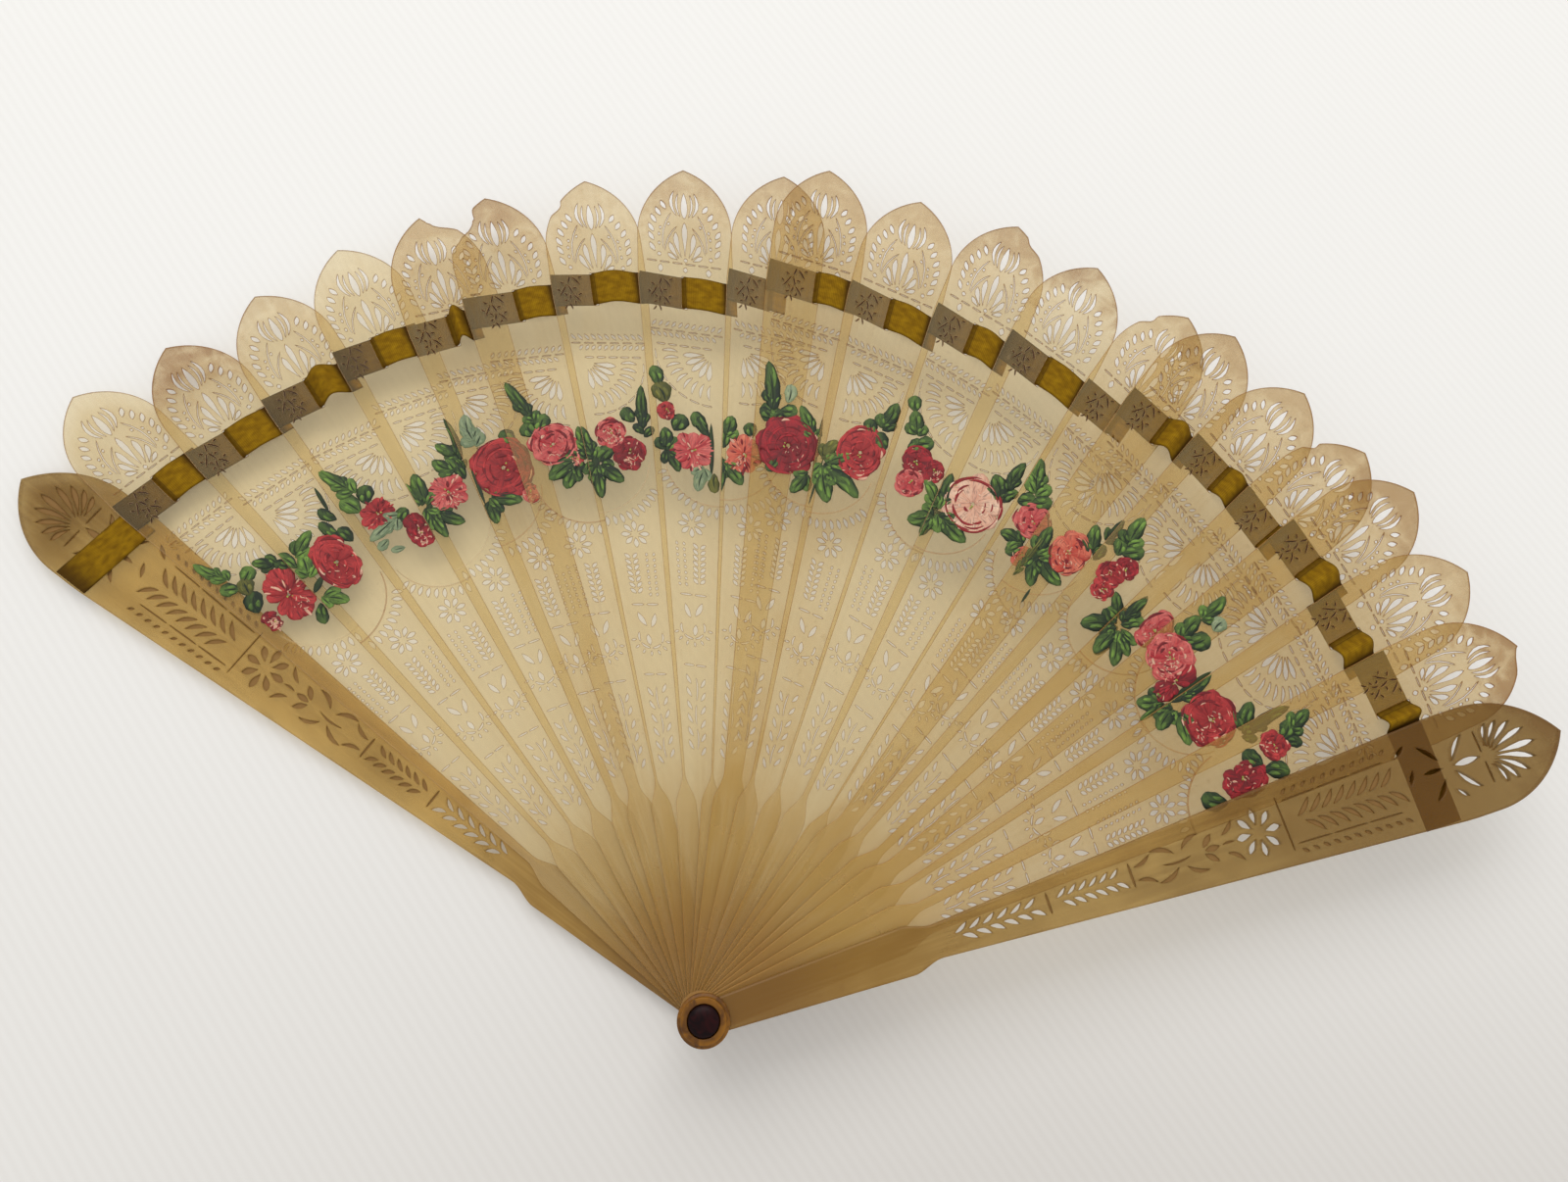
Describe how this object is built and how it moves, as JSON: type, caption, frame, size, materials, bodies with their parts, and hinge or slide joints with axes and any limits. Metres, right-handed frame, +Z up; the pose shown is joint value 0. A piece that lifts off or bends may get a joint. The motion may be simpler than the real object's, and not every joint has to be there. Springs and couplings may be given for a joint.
{
  "type": "horn brise fan",
  "caption": "Open folding fan of thin pierced horn blades between two horn guards, turning on a pivot pin and strung on a ribbon; it folds flat.",
  "frame": {"origin": "on the pivot's axis, at the underside of the rear washer and of the pin's rear head", "axes": "+Z up out of the fan's face, along the pivot; +Y along the middle of the open fan; +X to the right"},
  "size_m": [0.2794, 0.1622, 0.02],
  "materials": {
    "blade_horn": "polished translucent horn",
    "guard_horn": "polished thick horn",
    "ribbon": "silk ribbon",
    "washer": "turned horn",
    "pin": "polished",
    "paint": "thin painted decoration"
  },
  "bodies": {
    "rear_assembly": {"rear_guard": "guard_horn", "ribbon_rear_end": "ribbon", "pivot_pin": "pin", "rear_washer": "washer", "front_washer": "washer"},
    "stick_01": {"blade_01": "blade_horn", "ribbon_01": "ribbon"},
    "stick_02": {"blade_02": "blade_horn", "ribbon_02": "ribbon"},
    "stick_03": {"blade_03": "blade_horn", "ribbon_03": "ribbon"},
    "stick_04": {"blade_04": "blade_horn", "ribbon_04": "ribbon"},
    "stick_05": {"blade_05": "blade_horn", "ribbon_05": "ribbon"},
    "stick_06": {"blade_06": "blade_horn", "ribbon_06": "ribbon"},
    "stick_07": {"blade_07": "blade_horn", "ribbon_07": "ribbon"},
    "stick_08": {"blade_08": "blade_horn", "ribbon_08": "ribbon"},
    "stick_09": {"blade_09": "blade_horn", "ribbon_09": "ribbon"},
    "stick_10": {"blade_10": "blade_horn", "ribbon_10": "ribbon"},
    "stick_11": {"blade_11": "blade_horn", "ribbon_11": "ribbon"},
    "stick_12": {"blade_12": "blade_horn", "ribbon_12": "ribbon"},
    "stick_13": {"blade_13": "blade_horn", "ribbon_13": "ribbon"},
    "stick_14": {"blade_14": "blade_horn", "ribbon_14": "ribbon"},
    "stick_15": {"blade_15": "blade_horn", "ribbon_15": "ribbon"},
    "stick_16": {"blade_16": "blade_horn", "ribbon_16": "ribbon"},
    "stick_17": {"blade_17": "blade_horn", "ribbon_17": "ribbon"},
    "stick_18": {"blade_18": "blade_horn", "ribbon_18": "ribbon"},
    "stick_19": {"blade_19": "blade_horn", "ribbon_19": "ribbon"},
    "stick_20": {"blade_20": "blade_horn", "ribbon_20": "ribbon"},
    "front_assembly": {"front_guard": "guard_horn", "ribbon_front_end": "ribbon"}
  },
  "joints": [
    {"name": "stick_01_turn", "type": "hinge", "parent": "rear_assembly", "child": "stick_01", "pos_m": [0, 0, 0], "axis": [0, 0, 1], "range_deg": [0, 6.1]},
    {"name": "stick_02_turn", "type": "hinge", "parent": "rear_assembly", "child": "stick_02", "pos_m": [0, 0, 0], "axis": [0, 0, 1], "range_deg": [0, 12.7]},
    {"name": "stick_03_turn", "type": "hinge", "parent": "rear_assembly", "child": "stick_03", "pos_m": [0, 0, 0], "axis": [0, 0, 1], "range_deg": [0, 19.6]},
    {"name": "stick_04_turn", "type": "hinge", "parent": "rear_assembly", "child": "stick_04", "pos_m": [0, 0, 0], "axis": [0, 0, 1], "range_deg": [0, 26.1]},
    {"name": "stick_05_turn", "type": "hinge", "parent": "rear_assembly", "child": "stick_05", "pos_m": [0, 0, 0], "axis": [0, 0, 1], "range_deg": [0, 32.2]},
    {"name": "stick_06_turn", "type": "hinge", "parent": "rear_assembly", "child": "stick_06", "pos_m": [0, 0, 0], "axis": [0, 0, 1], "range_deg": [0, 37]},
    {"name": "stick_07_turn", "type": "hinge", "parent": "rear_assembly", "child": "stick_07", "pos_m": [0, 0, 0], "axis": [0, 0, 1], "range_deg": [0, 44.2]},
    {"name": "stick_08_turn", "type": "hinge", "parent": "rear_assembly", "child": "stick_08", "pos_m": [0, 0, 0], "axis": [0, 0, 1], "range_deg": [0, 51.3]},
    {"name": "stick_09_turn", "type": "hinge", "parent": "rear_assembly", "child": "stick_09", "pos_m": [0, 0, 0], "axis": [0, 0, 1], "range_deg": [0, 58.6]},
    {"name": "stick_10_turn", "type": "hinge", "parent": "rear_assembly", "child": "stick_10", "pos_m": [0, 0, 0], "axis": [0, 0, 1], "range_deg": [0, 61.8]},
    {"name": "stick_11_turn", "type": "hinge", "parent": "rear_assembly", "child": "stick_11", "pos_m": [0, 0, 0], "axis": [0, 0, 1], "range_deg": [0, 68.7]},
    {"name": "stick_12_turn", "type": "hinge", "parent": "rear_assembly", "child": "stick_12", "pos_m": [0, 0, 0], "axis": [0, 0, 1], "range_deg": [0, 75.9]},
    {"name": "stick_13_turn", "type": "hinge", "parent": "rear_assembly", "child": "stick_13", "pos_m": [0, 0, 0], "axis": [0, 0, 1], "range_deg": [0, 82.3]},
    {"name": "stick_14_turn", "type": "hinge", "parent": "rear_assembly", "child": "stick_14", "pos_m": [0, 0, 0], "axis": [0, 0, 1], "range_deg": [0, 89.6]},
    {"name": "stick_15_turn", "type": "hinge", "parent": "rear_assembly", "child": "stick_15", "pos_m": [0, 0, 0], "axis": [0, 0, 1], "range_deg": [0, 93]},
    {"name": "stick_16_turn", "type": "hinge", "parent": "rear_assembly", "child": "stick_16", "pos_m": [0, 0, 0], "axis": [0, 0, 1], "range_deg": [0, 99.1]},
    {"name": "stick_17_turn", "type": "hinge", "parent": "rear_assembly", "child": "stick_17", "pos_m": [0, 0, 0], "axis": [0, 0, 1], "range_deg": [0, 104.8]},
    {"name": "stick_18_turn", "type": "hinge", "parent": "rear_assembly", "child": "stick_18", "pos_m": [0, 0, 0], "axis": [0, 0, 1], "range_deg": [0, 108.8]},
    {"name": "stick_19_turn", "type": "hinge", "parent": "rear_assembly", "child": "stick_19", "pos_m": [0, 0, 0], "axis": [0, 0, 1], "range_deg": [0, 115]},
    {"name": "stick_20_turn", "type": "hinge", "parent": "rear_assembly", "child": "stick_20", "pos_m": [0, 0, 0], "axis": [0, 0, 1], "range_deg": [0, 120.6]},
    {"name": "front_guard_turn", "type": "hinge", "parent": "rear_assembly", "child": "front_assembly", "pos_m": [0, 0, 0], "axis": [0, 0, 1], "range_deg": [0, 126.4]}
  ],
  "couplings": [
    {"joint": "stick_01_turn", "follows": "front_guard_turn", "ratio": 0.048259},
    {"joint": "stick_02_turn", "follows": "front_guard_turn", "ratio": 0.10047},
    {"joint": "stick_03_turn", "follows": "front_guard_turn", "ratio": 0.15506},
    {"joint": "stick_04_turn", "follows": "front_guard_turn", "ratio": 0.20649},
    {"joint": "stick_05_turn", "follows": "front_guard_turn", "ratio": 0.25475},
    {"joint": "stick_06_turn", "follows": "front_guard_turn", "ratio": 0.29272},
    {"joint": "stick_07_turn", "follows": "front_guard_turn", "ratio": 0.34968},
    {"joint": "stick_08_turn", "follows": "front_guard_turn", "ratio": 0.40585},
    {"joint": "stick_09_turn", "follows": "front_guard_turn", "ratio": 0.46361},
    {"joint": "stick_10_turn", "follows": "front_guard_turn", "ratio": 0.48892},
    {"joint": "stick_11_turn", "follows": "front_guard_turn", "ratio": 0.54351},
    {"joint": "stick_12_turn", "follows": "front_guard_turn", "ratio": 0.60047},
    {"joint": "stick_13_turn", "follows": "front_guard_turn", "ratio": 0.65111},
    {"joint": "stick_14_turn", "follows": "front_guard_turn", "ratio": 0.70886},
    {"joint": "stick_15_turn", "follows": "front_guard_turn", "ratio": 0.73576},
    {"joint": "stick_16_turn", "follows": "front_guard_turn", "ratio": 0.78402},
    {"joint": "stick_17_turn", "follows": "front_guard_turn", "ratio": 0.82911},
    {"joint": "stick_18_turn", "follows": "front_guard_turn", "ratio": 0.86076},
    {"joint": "stick_19_turn", "follows": "front_guard_turn", "ratio": 0.90981},
    {"joint": "stick_20_turn", "follows": "front_guard_turn", "ratio": 0.95411}
  ]
}
